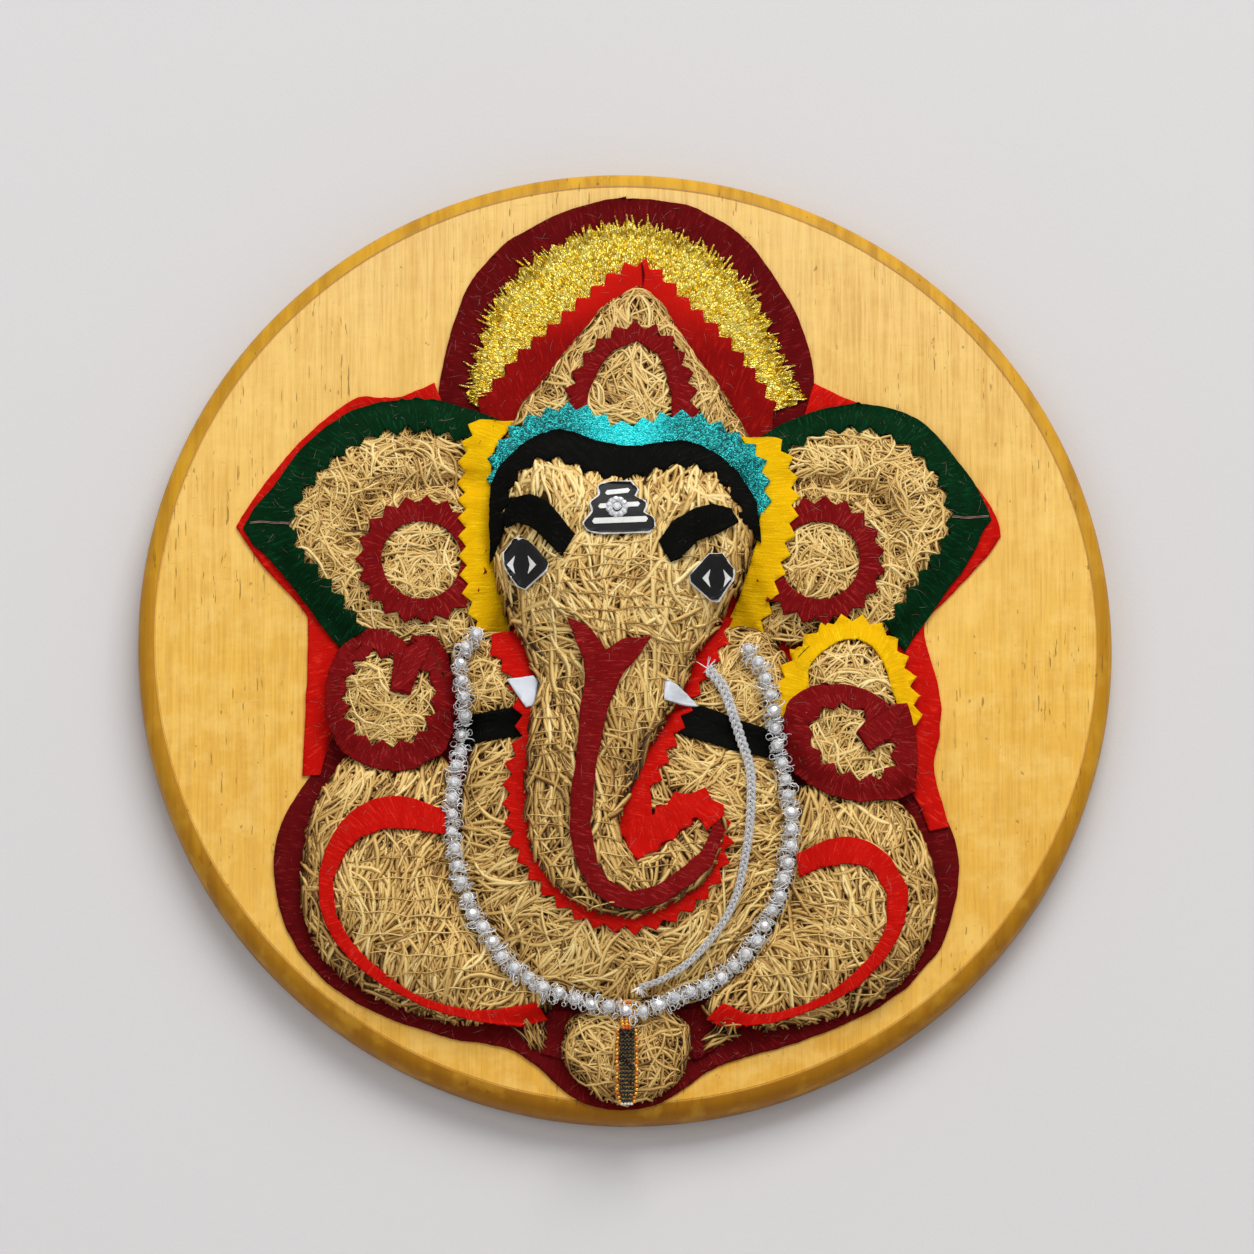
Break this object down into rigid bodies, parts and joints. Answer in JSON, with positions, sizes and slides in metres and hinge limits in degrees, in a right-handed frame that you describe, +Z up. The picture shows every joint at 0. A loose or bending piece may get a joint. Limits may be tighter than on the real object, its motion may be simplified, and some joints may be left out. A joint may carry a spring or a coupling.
{
  "type": "wall hanging",
  "caption": "Round wooden board to hang on a wall, with an elephant-headed Ganesha figure in padded root fibre and cut velvet laid over its face.",
  "frame": {"origin": "centre of the round board, on its flat back face", "axes": "+Z up, +Y out of the back towards the wall, so the figure faces -Y; +X to the right as seen from the front"},
  "size_m": [0.3, 0.0418, 0.3],
  "materials": {
    "varnished_wood": "clear satin varnish over fine straight grain",
    "root_fibre_mat": "loose tangled straw-coloured root fibres",
    "velvet_maroon": "flocked velvet paper, matt",
    "velvet_red": "flocked velvet paper, matt",
    "velvet_dark_red": "flocked velvet paper, matt",
    "velvet_green": "flocked velvet paper, matt",
    "velvet_yellow": "flocked velvet paper, matt",
    "velvet_black": "flocked velvet paper, matt",
    "glitter_gold": "crumpled gold foil glitter",
    "glitter_turquoise": "turquoise foil glitter",
    "white_card": "smooth white card",
    "black_sticker": "printed black sticker with white lines",
    "rhinestone_silver": "faceted clear stones in silver settings",
    "silver_braid": "twisted metallic thread",
    "black_seed_beads": "small shiny opaque beads"
  },
  "bodies": {
    "root": {"ankle_maroon_L": "velvet_maroon", "ankle_maroon_R": "velvet_maroon", "backing_maroon": "velvet_maroon", "backing_red": "velvet_red", "belly_pad": "root_fibre_mat", "board": "varnished_wood", "braid": "silver_braid", "brow_L": "velvet_black", "brow_R": "velvet_black", "crown_arch": "velvet_maroon", "crown_gold": "glitter_gold", "crown_maroon": "velvet_maroon", "crown_pad": "root_fibre_mat", "crown_red": "velvet_dark_red", "ear_green_L": "velvet_green", "ear_green_R": "velvet_green", "ear_pad_L": "root_fibre_mat", "ear_pad_R": "root_fibre_mat", "ear_ring_L": "velvet_maroon", "ear_ring_R": "velvet_maroon", "eye_L": "black_sticker", "eye_R": "black_sticker", "foot_pad": "root_fibre_mat", "forehead_mark": "black_sticker", "forehead_stone": "rhinestone_silver", "garland": "rhinestone_silver", "hair_band_black": "velvet_black", "hand_arch_yellow": "velvet_yellow", "hand_loop_L": "velvet_maroon", "hand_loop_R": "velvet_maroon", "hand_pad_L": "root_fibre_mat", "hand_pad_R": "root_fibre_mat", "head_trunk_pad": "root_fibre_mat", "headband_turquoise": "glitter_turquoise", "leg_band_L": "velvet_red", "leg_band_R": "velvet_red", "leg_pad_L": "root_fibre_mat", "leg_pad_R": "root_fibre_mat", "mouth_red": "velvet_red", "pendant": "black_seed_beads", "temple_strip_L": "velvet_yellow", "temple_strip_R": "velvet_yellow", "trunk_border": "velvet_red", "trunk_stripe": "velvet_maroon", "tusk_L": "white_card", "tusk_R": "white_card", "upper_arm_pad_L": "root_fibre_mat", "upper_arm_pad_R": "root_fibre_mat", "waist_band_L": "velvet_black", "waist_band_R": "velvet_black"}
  },
  "joints": []
}
